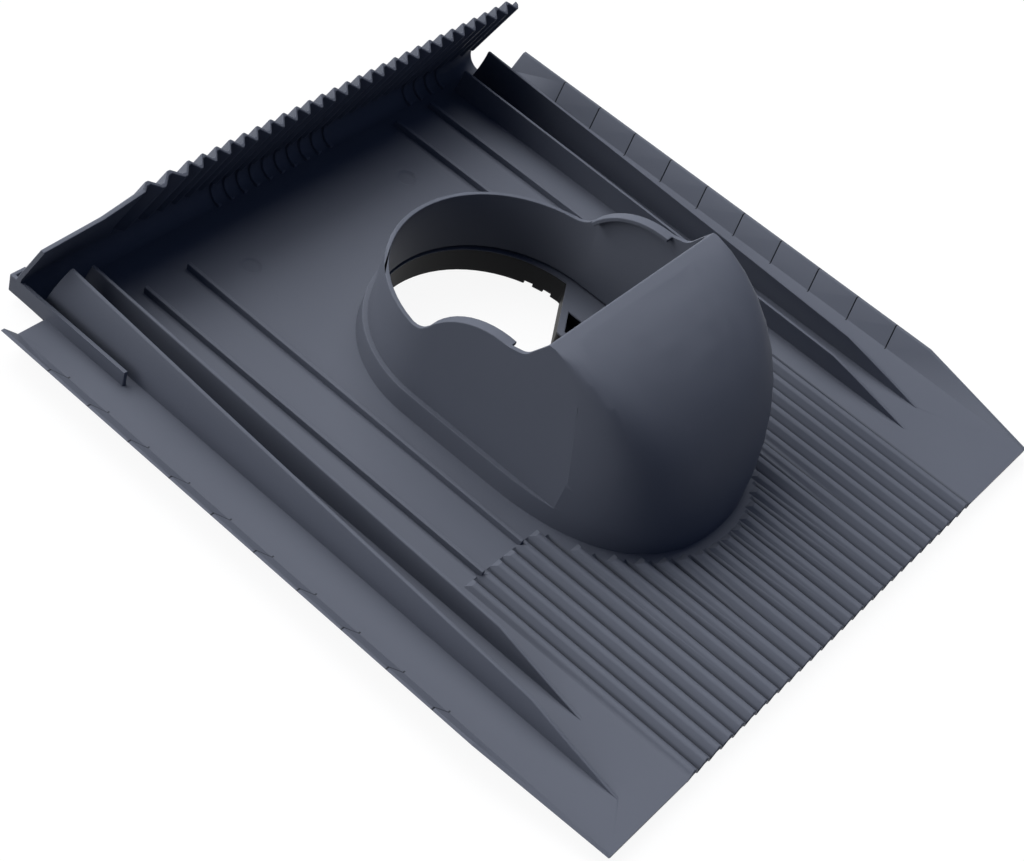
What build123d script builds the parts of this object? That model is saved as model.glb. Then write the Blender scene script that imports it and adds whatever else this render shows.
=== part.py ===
from build123d import *
import os
from math import asin, atan2, cos, pi, radians, sin, sqrt, tan

# Roof vent base plate, moulded in one piece. Lengths run up the roof from the front edge of the
# plate, heights rise from the top face of its sheet, and the plate stands on its pipe collar.

# Sheet
PLATE_LENGTH = 420.0        # front edge to the back edge of the tray
PLATE_WIDTH = 394.0         # between the folds of the two side lips
FLANGE_LENGTH = 392.0       # front edge to the back end of the side flanges
TRAY_WIDTH = 358.0          # the narrower part behind the flanges
SHEET = 2.0                 # thickness of the sheet

# Side lips, folded up and outwards, with slits so that they bend to the tile beside them
LIP_HEIGHT = 9.6
LIP_LEAN = 45.0             # degrees out of the vertical
LIP_WALL = 1.6
LIP_BEND = 77.0             # front edge to the place where the lip starts to fall away
SLIT_COUNT = 10
SLIT_PITCH = 28.5
SLIT_FIRST = 98.0           # front edge to the first slit
SLIT_WIDTH = 0.6
SLIT_DEPTH = 0.7            # the slits are grooves in the lip's upper face
SLIT_RAKE = 18.0            # degrees, the slits lean towards the back

# Pleats of the front apron and of the back wall
PLEAT_PITCH = 10.0
PLEAT_COUNT = 27
PLEAT_FIRST = -132.5        # middle of the plate to the apron's first crest, on the left
PLEAT_SLOPE = 48.0          # degrees, the flanks of an apron pleat
PLEAT_CREST = 2.6           # width of its crest, where its valley is sharp
PLEAT_RISE = 2.6            # its crest's height over the sheet
PLEAT_END = 4.0             # a crest slopes down to the flat sheet over this length ...
PLEAT_END_STEP = 0.3        # ... and stops this high over it, as a valley stops this far under it
PLEAT_LENGTH = 141.5        # front edge to where the outer pleats start
PLEAT_CLEAR_RADIUS = 80.0   # round flat that the hood keeps free of pleats
PLEAT_CLEAR_CENTRE = 156.0

# Hood over the pipe: a drafted wall round the back and sides, and a bonnet closing the front
HOOD_HEIGHT = 98.4
HOOD_WALL = 2.5
HOOD_HALF_BASE = 72.7       # half the hood's width over its side walls, at the sheet
HOOD_HALF_TOP = 69.3
HOOD_REAR_CENTRE = 237.5    # front edge to the centre of the rear round
BONNET_HALF_BASE = 76.0     # half the width of the foot and of the bonnet's cheeks, at the sheet
BONNET_HALF_TOP = 69.3
BONNET_REACH = 93.6         # how far the bonnet runs forward of its top edge
BONNET_EDGE = 175.5         # front edge of the plate to the bonnet's straight top edge
BONNET_FULL_BASE = 0.645    # how square the bonnet's plan is at the base, 0.55 is an ellipse
BONNET_FULL_TOP = 1.05
BONNET_SECTIONS = 11
BONNET_LAST_ANGLE = 86.0    # degrees up the bonnet's elliptic side profile
CHEEK_FOOT = 132.0          # where the bonnet's proud cheek ends at the sheet
CHEEK_LEAN = 13.0           # degrees, the cheek's end leans back as it rises

# Rim of the hood: level at the back, then up over a pipe cradle to the bonnet's tip
RIM_REAR_HEIGHT = 50.0
RIM_LEVEL_END = 253.0       # where the level rear rim starts to climb
CRADLE_BACK = 240.5
CRADLE_BACK_HEIGHT = 57.8
CRADLE_FRONT = 195.2
CRADLE_FRONT_HEIGHT = 80.7
CRADLE_RISE = 7.0           # bulge of the cradle over the line between its ends
CRADLE_WALL = 2.5
CRADLE_HALF_GAP = 63.5      # middle of the plate to the inner edge of the cradle
DIP_PLACE = 186.0           # corner of the dip between the cradle and the bonnet's tip
DIP_HEIGHT = 83.0
DIP_RADIUS = 9.0

# Plinth, floor and pipe collar under the hood
PLINTH_HEIGHT = 13.0
FLOOR_HEIGHT = 9.0
FLOOR_WALL = 2.5
COLLAR_RADIUS = 66.6        # inside of the collar, and edge of the opening
COLLAR_CENTRE = 240.4
COLLAR_WALL = 2.0
COLLAR_DROP = 7.5           # how far the collar reaches below the sheet's top face
WING_HALF_GAP = 30.8        # half the gap between the two guide wings at the front of the opening
WING_FRONT = 221.0          # a wing's edge slants from here at the gap ...
WING_BACK = 242.6           # ... to here at the collar
WING_CORNER = 4.0
POCKET_INNER = 35.0         # a blind pocket in each wing, from here ...
POCKET_OUTER = 49.3         # ... to here off the middle of the plate
POCKET_FRONT = 207.0
POCKET_INSET = 5.1          # along the plate, from the wing's slanting edge to the pocket
POCKET_WALL = 2.6           # it joins the collar's wall
NOTCH_WIDTH = 5.0           # clip notches in the collar's lower rim
NOTCH_DEPTH = 2.0
NOTCH_ANGLES = (10.0, 20.0)

# Fins along the sides of the tray
FIN_WALL = 2.0
OUTER_FIN_BASE = 172.0      # middle of the plate to the foot of the outer fin
OUTER_FIN_RADIUS = 68.0     # the outer fin curls inwards on this radius
OUTER_FIN_BACK = 401.5
OUTER_FIN_HEIGHT = 28.0
OUTER_FIN_BEND_HEIGHT = 13.3
OUTER_FIN_SWEEP = 19.0      # degrees, the back end leans forward
LEFT_FIN_BEND = 74.0        # the left outer fin runs further down the plate than the right one
LEFT_FIN_FRONT = 16.5
RIGHT_FIN_BEND = 113.5
RIGHT_FIN_FRONT = 59.0
INNER_FIN_BASE = 151.5
INNER_FIN_RADIUS = 75.0
INNER_FIN_BACK = 398.0
INNER_FIN_HEIGHT = 19.3
INNER_FIN_BEND = 110.5
INNER_FIN_BEND_HEIGHT = 12.7
INNER_FIN_FRONT = 54.5
INNER_FIN_SWEEP = 12.0

# Low ribs on the sheet, an edge rib on the tray's left, and two gate marks
RIB_WALL = 2.4
RIB_HEIGHT = 4.0
RIB_PLACES = (93.3, 124.0)  # middle of the plate to each rib
RIB_FRONT = 140.0
LEFT_RIB_BACK = 378.0
RIGHT_RIB_BACK = 396.0
EDGE_RIB_HEIGHT = 9.3
EDGE_RIB_FRONT = 335.0
EDGE_RIB_RETURN = 10.0      # how far the edge rib turns the back corner
GATE_PLACE = 63.6
GATE_LENGTH = 360.0
GATE_RADIUS = 6.5
GATE_DEPTH = 1.2

# Back wall: it leans forward out of a cove, and its crest is pleated
WALL = 2.6
WALL_SETBACK = 3.0          # the tray's back edge to the foot of the wall's inner face
WALL_LEAN = 24.8            # degrees forward of the vertical
WALL_HEIGHT = 60.0
COVE_RADIUS = 9.0
WALL_PLEAT_START = -122.5   # the pleats begin here, left of the middle
WIDE_PLEAT_COUNT = 2        # the first ones are wider
WIDE_PLEAT_PITCH = 15.0
WALL_PLEAT_COUNT = 27
WALL_PLEAT_SLOPE = 53.0     # degrees
WALL_PLEAT_FLAT = 1.5       # width of a crest and of a valley
WALL_PLEAT_FOOT = 13.4      # height at which the wall's pleats begin
WALL_LEFT_HEIGHT = 41.0     # the plain left end of the wall is lower
WALL_LEFT_STEP = 47.0
WALL_LEFT_STEP_PLACE = -143.0
BEAD_WIDTH = 2.6
BEAD_HEIGHT = 1.6           # over the cove's face
BEAD_OVERLAP = 10.0         # degrees, how far a bead runs on past the cove into its pleat
BEAD_GROUPS = ((-52.0, 52.0), (106.0, 150.0))  # where pleats run on down the cove to the sheet

FRONT = -PLATE_LENGTH / 2
TOP = COLLAR_DROP
DEEP = 200.0                # longer than anything that a cut passes through
WALL_FOOT = PLATE_LENGTH - WALL_SETBACK


def level(height):
    """A level plane over the middle of the front edge."""
    return Plane((0, FRONT, TOP + height))


def across(length):
    """An upright plane facing the front edge: sketch X runs across, sketch Y up."""
    return Plane((0, FRONT + length, TOP), x_dir=(1, 0, 0), z_dir=(0, -1, 0))


def along(place):
    """An upright plane facing the right side: sketch X runs up the roof, sketch Y up."""
    return Plane((place, FRONT, TOP), x_dir=(0, 1, 0), z_dir=(1, 0, 0))


def pleat_points(starts, corners, lift):
    """A folded line. From each start to the next it has the same corners, each of them given by its
    part of the way and its height."""
    points = [(starts[0], lift)]
    for left, right in zip(starts, starts[1:]):
        points += [(left + part * (right - left), lift + height) for part, height in corners]
    points.append((starts[-1], lift))
    return points


def pleat_band(starts, corners, thickness):
    """The section of a folded sheet, under its folded line."""
    upper = pleat_points(starts, corners, 0)
    lower = pleat_points(starts, corners, -thickness)
    with BuildSketch() as band:
        with BuildLine():
            Polyline(*upper, *reversed(lower), close=True)
        make_face()
    return band.sketch


def pleat_end(place):
    """How far a pleat at this place runs from the front edge: the flat round the hood stops it."""
    if abs(place) < PLEAT_CLEAR_RADIUS:
        return min(PLEAT_LENGTH, PLEAT_CLEAR_CENTRE - sqrt(PLEAT_CLEAR_RADIUS**2 - place**2))
    return PLEAT_LENGTH


# An apron pleat: its crest and its valley are measured where the folded sheet crosses the flat one
CREST_HALF = PLEAT_CREST / 2 + PLEAT_RISE / tan(radians(PLEAT_SLOPE))
VALLEY_HALF = PLEAT_PITCH / 2 - CREST_HALF
VALLEY_DEPTH = VALLEY_HALF * tan(radians(PLEAT_SLOPE))
PLEAT_WALL = SHEET / cos(radians(PLEAT_SLOPE))  # upright, so that the folded sheet keeps its thickness
APRON_STARTS = [PLEAT_FIRST - CREST_HALF + index * PLEAT_PITCH for index in range(PLEAT_COUNT + 1)]
APRON_CORNERS = (((CREST_HALF - PLEAT_CREST / 2) / PLEAT_PITCH, PLEAT_RISE),
                 ((CREST_HALF + PLEAT_CREST / 2) / PLEAT_PITCH, PLEAT_RISE),
                 ((2 * CREST_HALF + VALLEY_HALF) / PLEAT_PITCH, -VALLEY_DEPTH))
CRESTS = [start + CREST_HALF for start in APRON_STARTS[:-1]]
VALLEYS = [start - VALLEY_HALF for start in APRON_STARTS[1:]]


def apron_outline():
    """The pleated part of the sheet in plan, with a step for each crest and valley."""
    points = [(APRON_STARTS[0], 0)]
    strips = [(place, CREST_HALF) for place in CRESTS] + [(place, VALLEY_HALF) for place in VALLEYS]
    for place, half in sorted(strips):
        end = pleat_end(place)
        if end != points[-1][1]:
            points.append((place - half, end))
        points.append((place + half, end))
    points.append((APRON_STARTS[-1], 0))
    with BuildSketch() as outline:
        with BuildLine():
            Polyline(*points, close=True)
        make_face()
    return outline.sketch


# What is cut off a crest's end, and what fills a valley's end, so that both run out into the sheet
with BuildPart() as crest_end:
    with BuildSketch(Plane.YZ):
        with BuildLine():
            Polyline((0, PLEAT_END_STEP), (-PLEAT_END, PLEAT_RISE + PLEAT_END_STEP),
                     (0, PLEAT_RISE + PLEAT_END_STEP), close=True)
        make_face()
    extrude(amount=CREST_HALF, both=True)
with BuildPart() as valley_end:
    with BuildSketch(Plane.YZ):
        with BuildLine():
            Polyline((0, -PLEAT_END_STEP), (-2 * PLEAT_END, -PLEAT_WALL + PLEAT_END_STEP / 2),
                     (0, -PLEAT_WALL + PLEAT_END_STEP / 2), close=True)
        make_face()
    extrude(amount=VALLEY_HALF, both=True)

# The pleated front apron, a wavy sheet cut round the hood
with BuildPart() as apron:
    with BuildSketch(across(0)):
        add(pleat_band(APRON_STARTS, APRON_CORNERS, PLEAT_WALL))
    extrude(amount=-PLEAT_LENGTH)
    with BuildSketch(level(-DEEP / 2)):
        add(apron_outline())
    extrude(amount=DEEP, mode=Mode.INTERSECT)
    with Locations(*[(place, FRONT + pleat_end(place), TOP) for place in CRESTS]):
        add(crest_end.part, mode=Mode.SUBTRACT)
    with Locations(*[(place, FRONT + pleat_end(place), TOP) for place in VALLEYS]):
        add(valley_end.part)

# The flat sheet, open where the apron goes
with BuildPart() as sheet:
    with BuildSketch(level(-SHEET)):
        with Locations((0, FLANGE_LENGTH / 2)):
            Rectangle(PLATE_WIDTH, FLANGE_LENGTH)
        with Locations((0, PLATE_LENGTH / 2)):
            Rectangle(TRAY_WIDTH, PLATE_LENGTH)
        add(apron_outline(), mode=Mode.SUBTRACT)
    extrude(amount=SHEET)
    with Locations(*[(side * GATE_PLACE, FRONT + GATE_LENGTH, TOP) for side in (-1, 1)]):
        Cone(GATE_RADIUS - 2 * GATE_DEPTH, GATE_RADIUS, GATE_DEPTH, mode=Mode.SUBTRACT,
             align=(Align.CENTER, Align.CENTER, Align.MAX))

# The right lip: a leaning strip in two layers, of which the slits cut the upper one. It falls away to
# the front corner.
LIP_OUT = LIP_HEIGHT * tan(radians(LIP_LEAN))
FOLD = PLATE_WIDTH / 2


def lip_layer(lower, upper):
    """A layer of the leaning strip, between two depths measured square from its underside."""
    with BuildSketch() as layer:
        with BuildLine():
            near, far = [depth / cos(radians(LIP_LEAN)) for depth in (lower, upper)]
            Polyline((FOLD - far, -SHEET), (FOLD - near, -SHEET), (FOLD + LIP_OUT + SHEET - near, LIP_HEIGHT),
                     (FOLD + LIP_OUT + SHEET - far, LIP_HEIGHT), close=True)
        make_face()
    return layer.sketch


with BuildPart() as lip:
    with BuildSketch(across(FLANGE_LENGTH)):
        add(lip_layer(LIP_WALL - SLIT_DEPTH, LIP_WALL))
    extrude(amount=FLANGE_LENGTH)
    with BuildSketch(along(FOLD)):
        for index in range(SLIT_COUNT):
            foot = SLIT_FIRST + index * SLIT_PITCH
            rake = (LIP_HEIGHT + SHEET) * tan(radians(SLIT_RAKE))
            with BuildLine():
                Polyline((foot, 0), (foot + SLIT_WIDTH, 0), (foot + SLIT_WIDTH + rake, LIP_HEIGHT + SHEET),
                         (foot + rake, LIP_HEIGHT + SHEET), close=True)
            make_face()
    extrude(amount=LIP_OUT + 2 * SHEET, mode=Mode.SUBTRACT)
    with BuildSketch(across(FLANGE_LENGTH)):
        add(lip_layer(0, LIP_WALL - SLIT_DEPTH))
    extrude(amount=FLANGE_LENGTH)
    with BuildSketch(along(0)):
        with BuildLine():
            Polyline((0, 0), (LIP_BEND, LIP_HEIGHT), (LIP_BEND, LIP_HEIGHT + SHEET),
                     (-SHEET, LIP_HEIGHT + SHEET), (-SHEET, 0), close=True)
        make_face()
    extrude(amount=PLATE_WIDTH, mode=Mode.SUBTRACT)


def fin(base, radius, back, height, bend, bend_height, front, sweep):
    """A thin fin on the right side: a curled strip, trimmed to its side outline."""
    lean = radius - sqrt(radius**2 - height**2)
    with BuildPart() as strip:
        with BuildSketch(across(back)):
            with BuildLine():
                RadiusArc((base, 0), (base - lean, height), -radius)
                Line((base - lean, height), (base - lean - FIN_WALL, height))
                RadiusArc((base - lean - FIN_WALL, height), (base - FIN_WALL, 0), radius)
                Polyline((base - FIN_WALL, 0), (base - FIN_WALL, -SHEET / 2), (base, -SHEET / 2), (base, 0))
            make_face()
        extrude(amount=back - front)
        with BuildSketch(along(base - lean - 2 * FIN_WALL)):
            with BuildLine():
                swept = back - height * tan(radians(sweep))
                Polyline((front, -SHEET / 2), (front, 0), (bend, bend_height), (swept, height), (back, 0),
                         (back, -SHEET / 2), close=True)
            make_face()
        extrude(amount=lean + 4 * FIN_WALL, mode=Mode.INTERSECT)
    return strip.part


outer = (OUTER_FIN_BASE, OUTER_FIN_RADIUS, OUTER_FIN_BACK, OUTER_FIN_HEIGHT)
with BuildPart() as fins:
    add(fin(*outer, RIGHT_FIN_BEND, OUTER_FIN_BEND_HEIGHT, RIGHT_FIN_FRONT, OUTER_FIN_SWEEP))
    add(fin(*outer, LEFT_FIN_BEND, OUTER_FIN_BEND_HEIGHT, LEFT_FIN_FRONT, OUTER_FIN_SWEEP).mirror(Plane.YZ))
    inner_fin = fin(INNER_FIN_BASE, INNER_FIN_RADIUS, INNER_FIN_BACK, INNER_FIN_HEIGHT, INNER_FIN_BEND,
                    INNER_FIN_BEND_HEIGHT, INNER_FIN_FRONT, INNER_FIN_SWEEP)
    add(inner_fin)
    add(inner_fin.mirror(Plane.YZ))

# The low ribs, and the edge rib round the tray's left back corner
with BuildPart() as ribs:
    for side, rib_back in ((-1, LEFT_RIB_BACK), (1, RIGHT_RIB_BACK)):
        with BuildSketch(level(-SHEET / 2)):
            with Locations(*[(side * place, (RIB_FRONT + rib_back) / 2) for place in RIB_PLACES]):
                Rectangle(RIB_WALL, rib_back - RIB_FRONT)
        extrude(amount=SHEET / 2 + RIB_HEIGHT)
    with BuildSketch(level(-SHEET / 2)):
        with Locations((-TRAY_WIDTH / 2, EDGE_RIB_FRONT)):
            Rectangle(RIB_WALL, PLATE_LENGTH - EDGE_RIB_FRONT, align=(Align.MIN, Align.MIN))
        with Locations((-TRAY_WIDTH / 2, PLATE_LENGTH)):
            Rectangle(EDGE_RIB_RETURN, RIB_WALL, align=(Align.MIN, Align.MAX))
    extrude(amount=SHEET / 2 + EDGE_RIB_HEIGHT)

# The back wall: a coved strip, its upper part pleated, its left end cut lower
LEAN = radians(WALL_LEAN)
NARROW_START = WALL_PLEAT_START + WIDE_PLEAT_COUNT * WIDE_PLEAT_PITCH
WALL_STARTS = [WALL_PLEAT_START + index * WIDE_PLEAT_PITCH for index in range(WIDE_PLEAT_COUNT)]
WALL_STARTS += [NARROW_START + index * PLEAT_PITCH for index in range(WALL_PLEAT_COUNT + 1)]
WALL_PLEAT_RISE = (PLEAT_PITCH / 2 - WALL_PLEAT_FLAT) / 2 * tan(radians(WALL_PLEAT_SLOPE))
WALL_CORNERS = [(middle + side * WALL_PLEAT_FLAT / 2 / PLEAT_PITCH, rise)
                for middle, rise in ((0.25, WALL_PLEAT_RISE), (0.75, -WALL_PLEAT_RISE)) for side in (-1, 1)]
WALL_BACK = WALL / cos(LEAN)
with BuildPart() as back_wall:
    with BuildSketch(along(-TRAY_WIDTH / 2)):
        with BuildLine():
            crest = WALL_FOOT - WALL_HEIGHT * tan(LEAN)
            FilletPolyline((WALL_FOOT - 3 * COVE_RADIUS, 0), (WALL_FOOT, 0), (crest, WALL_HEIGHT),
                           radius=COVE_RADIUS)
            Polyline((crest, WALL_HEIGHT), (crest + WALL_BACK, WALL_HEIGHT), (WALL_FOOT + WALL_BACK, 0),
                     (WALL_FOOT + WALL_BACK, -SHEET / 2), (WALL_FOOT - 3 * COVE_RADIUS, -SHEET / 2),
                     (WALL_FOOT - 3 * COVE_RADIUS, 0))
        make_face()
    extrude(amount=TRAY_WIDTH)
    with BuildSketch(across(PLATE_LENGTH)):
        with BuildLine():
            Polyline((-TRAY_WIDTH / 2, WALL_LEFT_HEIGHT), (WALL_LEFT_STEP_PLACE, WALL_LEFT_STEP),
                     (WALL_PLEAT_START, WALL_HEIGHT), (WALL_PLEAT_START, 2 * WALL_HEIGHT),
                     (-TRAY_WIDTH / 2, 2 * WALL_HEIGHT), close=True)
        make_face()
    extrude(amount=DEEP, mode=Mode.SUBTRACT)
    foot_y = FRONT + WALL_FOOT - WALL_PLEAT_FOOT * tan(LEAN) + WALL / 2 * cos(LEAN)
    foot_z = TOP + WALL_PLEAT_FOOT + WALL / 2 * sin(LEAN)
    leaning = Plane((0, foot_y, foot_z), x_dir=(1, 0, 0), z_dir=(0, -sin(LEAN), cos(LEAN)))
    with BuildSketch(leaning):
        with Locations((WALL_PLEAT_START, 0)):
            Rectangle(TRAY_WIDTH, 4 * WALL, align=(Align.MIN, Align.CENTER))
    extrude(amount=2 * WALL_HEIGHT, mode=Mode.SUBTRACT)
    with BuildSketch(leaning):
        with Locations((0, WALL / 2)):
            add(pleat_band(WALL_STARTS, WALL_CORNERS, WALL))
    extrude(amount=(WALL_HEIGHT - WALL_PLEAT_FOOT) / cos(LEAN))

# Beads that carry some of the wall's pleats down the cove to the sheet
COVE_START = WALL_FOOT - COVE_RADIUS / tan(radians(45 - WALL_LEAN / 2))
RIDGES = [start - PLEAT_PITCH / 4 for start in WALL_STARTS[WIDE_PLEAT_COUNT + 1:]]
BEADS = [ridge for ridge in RIDGES if any(start < ridge < end for start, end in BEAD_GROUPS)]
with BuildPart() as beads:
    with BuildSketch(across(COVE_START)):
        with Locations(*[(ridge, -SHEET / 2) for ridge in BEADS]):
            Rectangle(BEAD_WIDTH, SHEET / 2 + BEAD_HEIGHT, align=(Align.CENTER, Align.MIN))
    revolve(axis=Axis((0, FRONT + COVE_START, TOP + COVE_RADIUS), (1, 0, 0)),
            revolution_arc=90 + WALL_LEAN + BEAD_OVERLAP)


def hood_wall(inset):
    """The drafted wall form of the hood's back and sides, as a solid."""
    with BuildPart() as form:
        for height, half in ((0, HOOD_HALF_BASE), (HOOD_HEIGHT, HOOD_HALF_TOP)):
            with BuildSketch(level(height)):
                with Locations((0, HOOD_REAR_CENTRE)):
                    Circle(half - inset)
                    Rectangle(2 * (half - inset), HOOD_REAR_CENTRE, align=(Align.CENTER, Align.MAX))
        loft()
    return form.part


def hood_recess(inset):
    """What the foot and the bonnet's cheeks stand proud of: the room round the hood's wall."""
    with BuildPart() as room:
        with BuildSketch(along(0)):
            with BuildLine():
                foot = PLINTH_HEIGHT - inset
                slope = tan(radians(CHEEK_LEAN))
                Polyline((CHEEK_FOOT - inset + foot * slope, foot),
                         (CHEEK_FOOT - inset + DEEP * slope, DEEP), (2 * PLATE_LENGTH, DEEP),
                         (2 * PLATE_LENGTH, foot), close=True)
            make_face()
        extrude(amount=DEEP, both=True)
        add(hood_wall(inset), mode=Mode.SUBTRACT)
    return room.part


def hood_section(angle, inset):
    """A level section through the hood's form, at this angle up the bonnet's side profile."""
    rise = sin(radians(angle))
    reach = (BONNET_REACH - inset) * cos(radians(angle))
    half = BONNET_HALF_BASE + (BONNET_HALF_TOP - BONNET_HALF_BASE) * rise - inset
    full = BONNET_FULL_BASE + (BONNET_FULL_TOP - BONNET_FULL_BASE) * rise
    nose = BONNET_EDGE - reach
    shoulder = BONNET_EDGE - full * reach
    with BuildSketch() as section:
        with BuildLine():
            Line((half, BONNET_EDGE), (half, HOOD_REAR_CENTRE))
            ThreePointArc((half, HOOD_REAR_CENTRE), (0, HOOD_REAR_CENTRE + half),
                          (-half, HOOD_REAR_CENTRE))
            Line((-half, HOOD_REAR_CENTRE), (-half, BONNET_EDGE))
            Bezier((-half, BONNET_EDGE), (-half, shoulder), (-full * half, nose), (0, nose))
            Bezier((0, nose), (full * half, nose), (half, shoulder), (half, BONNET_EDGE))
        make_face()
    return section.sketch


def hood_form(inset):
    """The hood's form with its bonnet, as a solid; an inset gives the hollow inside its wall."""
    with BuildPart() as form:
        for index in range(BONNET_SECTIONS):
            angle = BONNET_LAST_ANGLE * index / (BONNET_SECTIONS - 1)
            with BuildSketch(level((HOOD_HEIGHT - inset) * sin(radians(angle)))):
                add(hood_section(angle, inset))
        loft(ruled=True)
        add(hood_recess(inset), mode=Mode.SUBTRACT)
    return form.part


# The hood's hollow, in two rooms: over the floor and under it
with BuildPart() as hollow:
    add(hood_form(HOOD_WALL))
    with Locations((0, 0, TOP + FLOOR_HEIGHT)):
        Box(DEEP, 2 * PLATE_LENGTH, FLOOR_WALL, align=(Align.CENTER, Align.CENTER, Align.MAX),
            mode=Mode.SUBTRACT)

# The pipe cradle's arch, as a circle seen from the side
ARCH_RUN = CRADLE_BACK - CRADLE_FRONT
ARCH_CLIMB = CRADLE_FRONT_HEIGHT - CRADLE_BACK_HEIGHT
ARCH_SPAN = sqrt(ARCH_RUN**2 + ARCH_CLIMB**2)
ARCH_TILT = atan2(ARCH_CLIMB, ARCH_RUN)
ARCH_RADIUS = (ARCH_SPAN**2 / 4 + CRADLE_RISE**2) / (2 * CRADLE_RISE)
ARCH_HALF_ANGLE = asin(ARCH_SPAN / 2 / ARCH_RADIUS)


def arch_point(radius, turn):
    """A point round the arch's centre, turned towards the back by this part of its half angle."""
    direction = pi / 2 - ARCH_TILT - turn * ARCH_HALF_ANGLE
    depth = ARCH_RADIUS * cos(ARCH_HALF_ANGLE)
    centre_length = (CRADLE_BACK + CRADLE_FRONT) / 2 - depth * sin(ARCH_TILT)
    centre_height = (CRADLE_BACK_HEIGHT + CRADLE_FRONT_HEIGHT) / 2 - depth * cos(ARCH_TILT)
    return (centre_length + radius * cos(direction), centre_height + radius * sin(direction))


# The hood: its form less the hollow, trimmed along the rim
with BuildPart() as hood:
    add(hood_form(0))
    add(hollow.part, mode=Mode.SUBTRACT)
    with BuildSketch(along(0)):
        with BuildLine():
            Line((PLATE_LENGTH, RIM_REAR_HEIGHT), (RIM_LEVEL_END, RIM_REAR_HEIGHT))
            TangentArc((RIM_LEVEL_END, RIM_REAR_HEIGHT), arch_point(ARCH_RADIUS, 1), tangent=(-1, 0))
            ThreePointArc(arch_point(ARCH_RADIUS, 1), arch_point(ARCH_RADIUS, 0),
                          arch_point(ARCH_RADIUS, -1))
            FilletPolyline(arch_point(ARCH_RADIUS, -1), (DIP_PLACE, DIP_HEIGHT),
                           (BONNET_EDGE, HOOD_HEIGHT), radius=DIP_RADIUS)
            Polyline((BONNET_EDGE, HOOD_HEIGHT), (BONNET_EDGE, DEEP), (PLATE_LENGTH, DEEP),
                     (PLATE_LENGTH, RIM_REAR_HEIGHT))
        make_face()
    extrude(amount=DEEP, both=True, mode=Mode.SUBTRACT)

# The cradle: an arched ledge along each side of the rim, kept inside the hood's form
with BuildPart() as cradle:
    with BuildSketch(along(-DEEP / 2)):
        with BuildLine():
            ThreePointArc(arch_point(ARCH_RADIUS, 1), arch_point(ARCH_RADIUS, 0),
                          arch_point(ARCH_RADIUS, -1))
            Line(arch_point(ARCH_RADIUS, -1), arch_point(ARCH_RADIUS - CRADLE_WALL, -1))
            ThreePointArc(arch_point(ARCH_RADIUS - CRADLE_WALL, -1),
                          arch_point(ARCH_RADIUS - CRADLE_WALL, 0),
                          arch_point(ARCH_RADIUS - CRADLE_WALL, 1))
            Line(arch_point(ARCH_RADIUS - CRADLE_WALL, 1), arch_point(ARCH_RADIUS, 1))
        make_face()
    extrude(amount=DEEP)
    Box(2 * CRADLE_HALF_GAP, 2 * PLATE_LENGTH, 2 * DEEP, mode=Mode.SUBTRACT)
    add(hood_wall(0), mode=Mode.INTERSECT)


def opening(grow):
    """The opening in the floor: round at the back, with a guide wing each side at the front."""
    slope = (WING_BACK - WING_FRONT) / (COLLAR_RADIUS - WING_HALF_GAP)
    outside = 2 * COLLAR_RADIUS
    with BuildSketch() as hole:
        with Locations((0, COLLAR_CENTRE)):
            Circle(COLLAR_RADIUS)
        for side in (-1, 1):
            with BuildLine():
                FilletPolyline((side * outside, WING_FRONT + slope * (outside - WING_HALF_GAP)),
                               (side * WING_HALF_GAP, WING_FRONT), (side * WING_HALF_GAP, 0),
                               radius=WING_CORNER)
                Polyline((side * WING_HALF_GAP, 0), (side * outside, 0),
                         (side * outside, WING_FRONT + slope * (outside - WING_HALF_GAP)))
            make_face(mode=Mode.SUBTRACT)
        if grow:
            offset(amount=grow)
    return hole.sketch


# The pipe collar round the opening, with clip notches in its lower rim
with BuildPart() as collar:
    with BuildSketch(level(-COLLAR_DROP)):
        add(opening(COLLAR_WALL))
        add(opening(0), mode=Mode.SUBTRACT)
    extrude(amount=COLLAR_DROP + FLOOR_HEIGHT)
    for angle in NOTCH_ANGLES:
        for turn in (angle, 180 - angle):
            with Locations(level(-COLLAR_DROP)):
                with Locations((0, COLLAR_CENTRE)):
                    with PolarLocations(COLLAR_RADIUS, 1, start_angle=turn):
                        Box(4 * COLLAR_WALL, NOTCH_WIDTH, 2 * NOTCH_DEPTH, mode=Mode.SUBTRACT)


def pockets():
    """The pockets of both wings in plan."""
    slope = (WING_BACK - WING_FRONT) / (COLLAR_RADIUS - WING_HALF_GAP)
    ends = [WING_FRONT + slope * (place - WING_HALF_GAP) - POCKET_INSET
            for place in (POCKET_INNER, POCKET_OUTER)]
    with BuildSketch() as plan:
        for side in (-1, 1):
            with BuildLine():
                Polyline((side * POCKET_INNER, POCKET_FRONT), (side * POCKET_INNER, ends[0]),
                         (side * POCKET_OUTER, ends[1]), (side * POCKET_OUTER, POCKET_FRONT), close=True)
            make_face()
    return plan.sketch


# The wells under the pockets, from the sheet's underside to the floor
with BuildPart() as wells:
    with BuildSketch(level(-SHEET)):
        add(pockets())
        offset(amount=POCKET_WALL, kind=Kind.INTERSECTION)
    extrude(amount=SHEET + FLOOR_HEIGHT - FLOOR_WALL / 2)

# What is cut out under the hood: the opening through the floor, and the pockets
with BuildPart() as floor_cuts:
    with BuildSketch(level(0)):
        add(opening(0))
        add(pockets())
    extrude(amount=FLOOR_HEIGHT)

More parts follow.
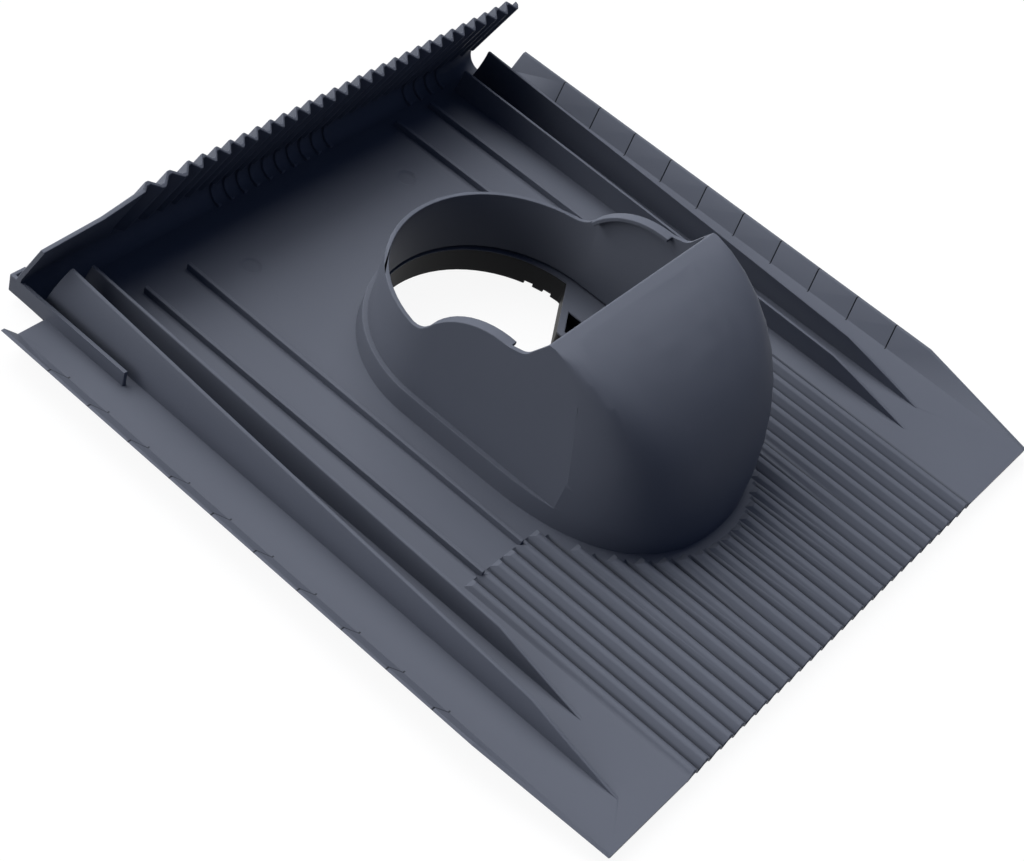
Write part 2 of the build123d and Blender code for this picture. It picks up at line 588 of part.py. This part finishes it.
with BuildPart() as base_plate:
    add(sheet.part)
    add(apron.part)
    add(hood.part)
    with BuildSketch(level(-SHEET)):
        add(hood_section(0, HOOD_WALL))
    extrude(amount=SHEET, mode=Mode.SUBTRACT)
    add(wells.part)
    add(floor_cuts.part, mode=Mode.SUBTRACT)
    add(collar.part)
    add(cradle.part)
    add(lip.part)
    add(lip.part.mirror(Plane.YZ))
    add(fins.part)
    add(ribs.part)
    add(back_wall.part)
    add(beads.part)
base_plate.part.label = "base_plate"

os.makedirs("parts", exist_ok=True)
export_step(base_plate.part, "parts/base_plate.step")
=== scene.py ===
# %% [markdown]
# # A roof vent base plate
#
# This lesson dresses one moulded plate, the kind that lies among roof tiles and leads a vent pipe
# through them. Its shape comes from a CAD model that is loaded as a fixed frame, in metres, with
# +Z up, the pleated front edge towards -Y and the leaning back wall towards +Y. Blender's share is
# the soft edges of a moulding, the grain of the plastic, the light and the camera.

# %% Load the frame
from math import cos, radians, sin

import bmesh
import bpy
from mathutils import Matrix, Vector


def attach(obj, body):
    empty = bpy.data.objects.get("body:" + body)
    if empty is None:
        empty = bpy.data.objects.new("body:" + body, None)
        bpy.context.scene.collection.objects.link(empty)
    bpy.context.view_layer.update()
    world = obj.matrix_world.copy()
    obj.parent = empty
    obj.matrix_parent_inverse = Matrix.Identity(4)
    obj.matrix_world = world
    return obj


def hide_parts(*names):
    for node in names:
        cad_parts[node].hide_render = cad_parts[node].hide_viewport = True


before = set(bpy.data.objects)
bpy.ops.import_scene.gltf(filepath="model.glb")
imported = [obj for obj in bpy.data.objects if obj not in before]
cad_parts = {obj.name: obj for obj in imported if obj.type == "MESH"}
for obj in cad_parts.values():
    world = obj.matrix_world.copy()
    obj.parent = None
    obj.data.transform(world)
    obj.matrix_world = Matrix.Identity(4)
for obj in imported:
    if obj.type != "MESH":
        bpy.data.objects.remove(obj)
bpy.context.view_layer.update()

# %% [markdown]
# ## The moulding
#
# A plate like this leaves its mould in one piece, so it is one mesh here too. The CAD mesh is loose
# triangles with hard edges. It could be shaded as it is, but then the rim, the fins and the lips
# would look cut from sheet. A copy is merged instead, and its flat triangles are joined to whole
# faces, so that a bevel has clean corners to work on. Only the side lips keep their triangles: their
# slits leave a bevel no room. The copy stands for the CAD node, which stays in the frame for collision.

# %% Copy and merge the moulding
MERGE = 0.00001              # points closer than this are one
FLAT = radians(0.05)         # triangles that turn less than this are one face
LIP_FOLD = 0.1955            # outside this, the slit lips keep their own triangles


def only(obj):
    """Select one object and make it the active one."""
    bpy.ops.object.select_all(action="DESELECT")
    obj.select_set(True)
    bpy.context.view_layer.objects.active = obj


def on_lip(edge):
    """Whether an edge reaches onto one of the side lips."""
    return any(abs(point.co.x) > LIP_FOLD for point in edge.verts)


only(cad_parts["base_plate"])
bpy.ops.object.duplicate()
moulding = bpy.context.active_object
moulding.name = "moulding"
work = bmesh.new()
work.from_mesh(moulding.data)
bmesh.ops.remove_doubles(work, verts=work.verts, dist=MERGE)
plain = [edge for edge in work.edges if not on_lip(edge)]
bmesh.ops.dissolve_limit(work, angle_limit=FLAT, verts=[], edges=plain)
print("merged", len(work.verts), "points", len(work.faces), "faces")

# %% [markdown]
# ## Round corners
#
# No corner of a moulding is sharp: a cutter's radius or a polished edge rounds it, and the thin line
# of light along each rim comes from there. One bevel width for all would be too small for the pleats,
# whose crests are bent and not cut, so each edge gets a weight: none on a smooth face, a small one on
# an outer corner, the full one along the crests of the apron. Inner corners stay sharp, so that they
# look as dark as in the photograph. The bevel modifier turns weight into width, and weighted normals
# then keep the large faces flat up to the bevels.

# %% Weigh the edges, bevel and smooth
CREST_ROUND = 0.0011         # along the apron's pleats
EDGE_ROUND = 0.0006          # on every other corner
ROUND_STEPS = 3
CORNER = radians(30)         # edges that turn more than this are corners
SOFT = radians(25)           # faces that turn less than this are shaded as one
CREST_LEVEL = 0.0101         # height of the apron's crests
CREST_BACK = -0.060          # the apron lies in front of this
SAME = 0.0001                # heights closer than this are one


def is_crest(edge):
    """Whether an edge runs along the top of one of the apron's pleats."""
    in_front = all(point.co.y < CREST_BACK for point in edge.verts)
    return in_front and all(abs(point.co.z - CREST_LEVEL) < SAME for point in edge.verts)


def rounding_weight(edge):
    """An edge's share of the widest bevel, or nothing where its neighbours leave no room."""
    width = CREST_ROUND if is_crest(edge) else EDGE_ROUND
    sides = {side for face in edge.link_faces for side in face.edges}
    room = min(side.calc_length() for side in sides if set(side.verts) & set(edge.verts))
    return width / CREST_ROUND if room > 2 * width else 0


weight = work.edges.layers.float.new("bevel_weight_edge")
outer = [edge for edge in work.edges if edge.is_convex and not on_lip(edge)]
corners = [edge for edge in outer if edge.calc_face_angle(0) > CORNER]
for edge in corners:
    edge[weight] = rounding_weight(edge)
rounded = sum(edge[weight] > 0 for edge in corners)
work.to_mesh(moulding.data)
work.free()

rounding = moulding.modifiers.new("corner_rounding", "BEVEL")
rounding.width = CREST_ROUND
rounding.segments = ROUND_STEPS
rounding.limit_method = "WEIGHT"
rounding.use_clamp_overlap = False
bpy.ops.object.modifier_apply(modifier=rounding.name)
bpy.ops.object.shade_smooth_by_angle(angle=SOFT)
flatness = moulding.modifiers.new("flat_faces", "WEIGHTED_NORMAL")
flatness.keep_sharp = True
bpy.ops.object.modifier_apply(modifier=flatness.name)

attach(moulding, "root")
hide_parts("base_plate")
print("moulding", rounded, "of", len(corners), "corners rounded,", len(moulding.data.polygons), "faces")

# %% [markdown]
# ## Shader sums
#
# A finish is a few sums over the surface: how far along, how high, how grainy. Joining Math nodes by
# hand hides such sums, so a small class wraps a socket and lets Python's own signs add the nodes.

# %% A socket that takes part in sums


class Wire:
    """One output socket of a material, with the usual signs."""

    def __init__(self, finish, socket):
        self.finish = finish
        self.socket = socket

    def sum(self, operation, first, second):
        return self.finish.node("ShaderNodeMath", {"operation": operation}, {0: first, 1: second})

    def __add__(self, other):
        return self.sum("ADD", self, other)

    def __radd__(self, other):
        return self.sum("ADD", other, self)

    def __sub__(self, other):
        return self.sum("SUBTRACT", self, other)

    def __rsub__(self, other):
        return self.sum("SUBTRACT", other, self)

    def __mul__(self, other):
        return self.sum("MULTIPLY", self, other)

    def __rmul__(self, other):
        return self.sum("MULTIPLY", other, self)

    def __mod__(self, other):
        return self.sum("FLOORED_MODULO", self, other)

    def __lt__(self, other):
        return self.sum("LESS_THAN", self, other)

    def __gt__(self, other):
        return self.sum("GREATER_THAN", self, other)

    def __abs__(self):
        return self.sum("ABSOLUTE", self, 0)


class Finish:
    """A material whose nodes are added by one method."""

    def __init__(self, name):
        self.material = bpy.data.materials.new(name)
        self.material.use_nodes = True
        self.tree = self.material.node_tree
        self.tree.nodes.clear()

    def node(self, kind, settings=None, links=None, output=0):
        """Add a node: its settings first, then each socket's value or link. An end has no output."""
        node = self.tree.nodes.new(kind)
        for name, value in (settings or {}).items():
            setattr(node, name, value)
        for name, value in (links or {}).items():
            if isinstance(value, Wire):
                self.tree.links.new(value.socket, node.inputs[name])
            else:
                node.inputs[name].default_value = value
        return Wire(self, node.outputs[output]) if node.outputs else None


# %% [markdown]
# ## The plastic
#
# Roof mouldings are coloured right through, in a slate grey that leans to blue, and come out of a
# spark-eroded mould with a fine matt grain. The colour could be one flat value, but a real plate
# drifts a little in tone where the melt flowed and cooled, so a slow noise shifts the colour and a
# fine one roughens it. Shade is painted into the colour as well: near black inside the collar, where
# no daylight arrives, and darker in the slits of the lips and the bottoms of the apron's valleys.

# %% Mix the plastic
SLATE = (0.126, 0.137, 0.168, 1)
SLATE_PALE = (0.141, 0.153, 0.186, 1)
# painted shade: the near-black colour that the collar's inside, the valleys' bottoms and the slits are
# darkened towards
SLATE_SHADE = (0.004, 0.0045, 0.006, 1)
CLOUD_SCALE = 14             # slow drifts of tone, about 70 mm across
GRAIN_SCALE = 1500           # mould grain, about 0.7 mm across
GRAIN_HEIGHT = 0.00004
COLLAR_PLACE = (0, 0.0304, 0)
COLLAR_OUTSIDE = 0.0700
FLOOR_LEVEL = 0.0155
SHEET_LEVEL = 0.0075
VALLEY_DEPTH = 0.0015        # the valleys' bottoms below the sheet
# painted shade in the bottoms of the apron's valleys, for shade the shallow pleats don't cast
VALLEY_SHADE = 0.6
SLIT_FIRST = -0.1117         # middle of the first slit at the sheet
SLIT_END = 0.160             # behind the last slit
SLIT_PITCH = 0.0285
SLIT_LEAN = 0.325            # how far a slit runs back for its height
SLIT_HALF = 0.0004
# painted shade along the slits of the side lips
SLIT_SHADE = 0.8
DULLNESS = 0.46              # the least roughness, before cloud and grain add to it
CLOUD_DULLNESS = 0.10
GRAIN_DULLNESS = 0.06
GRAIN_STRENGTH = 0.35
SHINE = 0.12

plastic = Finish("slate_plastic")
place = plastic.node("ShaderNodeTexCoord", output="Object")
facing = plastic.node("ShaderNodeTexCoord", output="Normal")
cloud = plastic.node("ShaderNodeTexNoise", links={"Vector": place, "Scale": CLOUD_SCALE, "Detail": 3.0})
grain = plastic.node("ShaderNodeTexNoise", links={"Vector": place, "Scale": GRAIN_SCALE, "Detail": 2.0})
across, along, height = [
    plastic.node("ShaderNodeSeparateXYZ", links={0: place}, output=axis) for axis in "XYZ"
]
upward = plastic.node("ShaderNodeSeparateXYZ", links={0: facing}, output="Z")

from_pipe = plastic.node("ShaderNodeVectorMath", {"operation": "SUBTRACT"}, {0: place, 1: COLLAR_PLACE})
flat_from_pipe = plastic.node("ShaderNodeVectorMath", {"operation": "MULTIPLY"}, {0: from_pipe, 1: (1, 1, 0)})
pipe_distance = plastic.node(
    "ShaderNodeVectorMath", {"operation": "LENGTH"}, {0: flat_from_pipe}, output="Value"
)
# painted shade: inside the collar the colour goes near black
in_collar = (pipe_distance < COLLAR_OUTSIDE) * (height < FLOOR_LEVEL)

# painted shade in the valleys' bottoms, deepest where they sink furthest below the sheet
sunk = (SHEET_LEVEL - height) * (1 / VALLEY_DEPTH)
depth = plastic.node("ShaderNodeClamp", links={"Value": sunk})
in_valley = depth * (along < CREST_BACK) * (upward > 0) * (abs(across) < LIP_FOLD)

# painted shade: thin dark ticks along the slits of the lips
run = along - SLIT_FIRST - SLIT_LEAN * (height - SHEET_LEVEL)
off_slit = abs((run + SLIT_PITCH / 2) % SLIT_PITCH - SLIT_PITCH / 2)
on_slit = (off_slit < SLIT_HALF) * (abs(across) > LIP_FOLD) * (run > -SLIT_PITCH / 2) * (along < SLIT_END)

# all the painted shade together: collar, valley bottoms and slits
painted_shade = in_collar + VALLEY_SHADE * in_valley + SLIT_SHADE * on_slit
tone = plastic.node("ShaderNodeMix", {"data_type": "RGBA"}, {0: cloud, 6: SLATE, 7: SLATE_PALE}, output=2)
colour = plastic.node("ShaderNodeMix", {"data_type": "RGBA"}, {0: painted_shade, 6: tone, 7: SLATE_SHADE}, output=2)
roughness = DULLNESS + CLOUD_DULLNESS * cloud + GRAIN_DULLNESS * grain
relief = plastic.node(
    "ShaderNodeBump", links={"Strength": GRAIN_STRENGTH, "Distance": GRAIN_HEIGHT, "Height": grain}
)
surface = plastic.node(
    "ShaderNodeBsdfPrincipled",
    links={"Base Color": colour, "Roughness": roughness, "Normal": relief, "Specular IOR Level": SHINE},
)
plastic.node("ShaderNodeOutputMaterial", links={"Surface": surface})
moulding.data.materials.clear()
moulding.data.materials.append(plastic.material)
print("plastic", len(plastic.tree.nodes), "nodes")

# %% [markdown]
# ## The floor
#
# The plate stands on its collar on a white floor that runs past the picture on every side. Most of
# its white is its own glow, seen only by the camera and in reflections, so the floor stays white
# without lighting the plate from below, and the rest takes the light and keeps a pale shadow.

# %% Lay the floor
FLOOR_SIZE = 12
FLOOR_PAINT = (0.10, 0.10, 0.10, 1)
FLOOR_GLOW = 0.92

bpy.ops.object.select_all(action="DESELECT")
bpy.ops.mesh.primitive_plane_add(size=FLOOR_SIZE)
floor = bpy.context.active_object
floor.name = "floor"
white = Finish("white_floor")
paint = white.node("ShaderNodeBsdfDiffuse", links={"Color": FLOOR_PAINT})
seen = [white.node("ShaderNodeLightPath", output=ray)
        for ray in ("Is Camera Ray", "Is Glossy Ray", "Is Transmission Ray")]
glow = white.node("ShaderNodeEmission", links={"Strength": FLOOR_GLOW})
glowing = white.node("ShaderNodeAddShader", links={0: paint, 1: glow})
either = white.node("ShaderNodeMixShader", links={0: seen[0] + seen[1] + seen[2], 1: paint, 2: glowing})
white.node("ShaderNodeOutputMaterial", links={"Surface": either})
floor.data.materials.append(white.material)
print("floor", FLOOR_SIZE, "m")

# %% [markdown]
# ## The light
#
# The photograph is lit from behind: level faces and crests are pale, the hood's left side is half as
# bright, and every face to the front is deep in a bluish shade. Three broad suns give that. The main
# one stands behind the plate, a high one behind on the right brightens the level faces, and a low one
# behind on the left reaches the hood's side over the fins. A weak blue sky fills the shade.

# %% Hang the suns and fill the sky
SUN_WIDTH = radians(50)
SUN_DISTANCE = 2             # only for the look of the viewport, a sun's place doesn't matter
SUNS = {                     # degrees round from the front, degrees up, strength
    "back_sun": (190, 42, 1.9),
    "right_sun": (140, 60, 1.45),
    "left_sun": (230, 8, 1.3),
}
SKY = (0.6, 0.85, 1.6, 1)
SKY_STRENGTH = 0.07


def direction(azimuth, elevation):
    """The unit vector to a place in the sky, from its angles in radians."""
    return Vector((sin(azimuth) * cos(elevation), -cos(azimuth) * cos(elevation), sin(elevation)))


for name, (azimuth, elevation, strength) in SUNS.items():
    towards = direction(radians(azimuth), radians(elevation))
    bpy.ops.object.select_all(action="DESELECT")
    bpy.ops.object.light_add(type="SUN", location=SUN_DISTANCE * towards)
    sun = bpy.context.active_object
    sun.name = name
    sun.data.energy = strength
    sun.data.angle = SUN_WIDTH
    sun.rotation_mode = "QUATERNION"
    sun.rotation_quaternion = towards.to_track_quat("Z", "Y")

world = bpy.data.worlds.new("blue_sky")
bpy.context.scene.world = world
world.use_nodes = True
sky = world.node_tree.nodes["Background"]
sky.inputs["Color"].default_value = SKY
sky.inputs["Strength"].default_value = SKY_STRENGTH
print("suns", list(SUNS))

# %% [markdown]
# ## The camera
#
# The photograph was taken from the left, high up, with the camera tilted on its side so that the
# plate lies across the picture. The place, the turn and the lens were worked out from the plate's own
# parallel edges. A camera looks along its own -Z, so its back, right and up make its turn.

# %% Set up the camera
CAMERA_PLACE = Vector((-0.7164, -0.3343, 0.7550))
AZIMUTH = radians(-64.933)
ELEVATION = radians(44.925)
ROLL = radians(20.784)
LENS = 71.62
SENSOR = 36

back = direction(AZIMUTH, ELEVATION)
level_right = Vector((cos(AZIMUTH), sin(AZIMUTH), 0))
level_up = back.cross(level_right)
right = cos(ROLL) * level_right + sin(ROLL) * level_up
up = cos(ROLL) * level_up - sin(ROLL) * level_right

bpy.ops.object.camera_add(location=CAMERA_PLACE)
camera = bpy.context.active_object
camera.name = "photo_camera"
camera.matrix_world = Matrix.Translation(CAMERA_PLACE) @ Matrix((right, up, back)).transposed().to_4x4()
camera.data.sensor_width = SENSOR
camera.data.lens = LENS
camera.data.dof.use_dof = False
bpy.context.scene.camera = camera
bpy.context.scene.view_settings.view_transform = "Standard"
print("camera", tuple(round(part, 3) for part in camera.location), "lens", LENS)
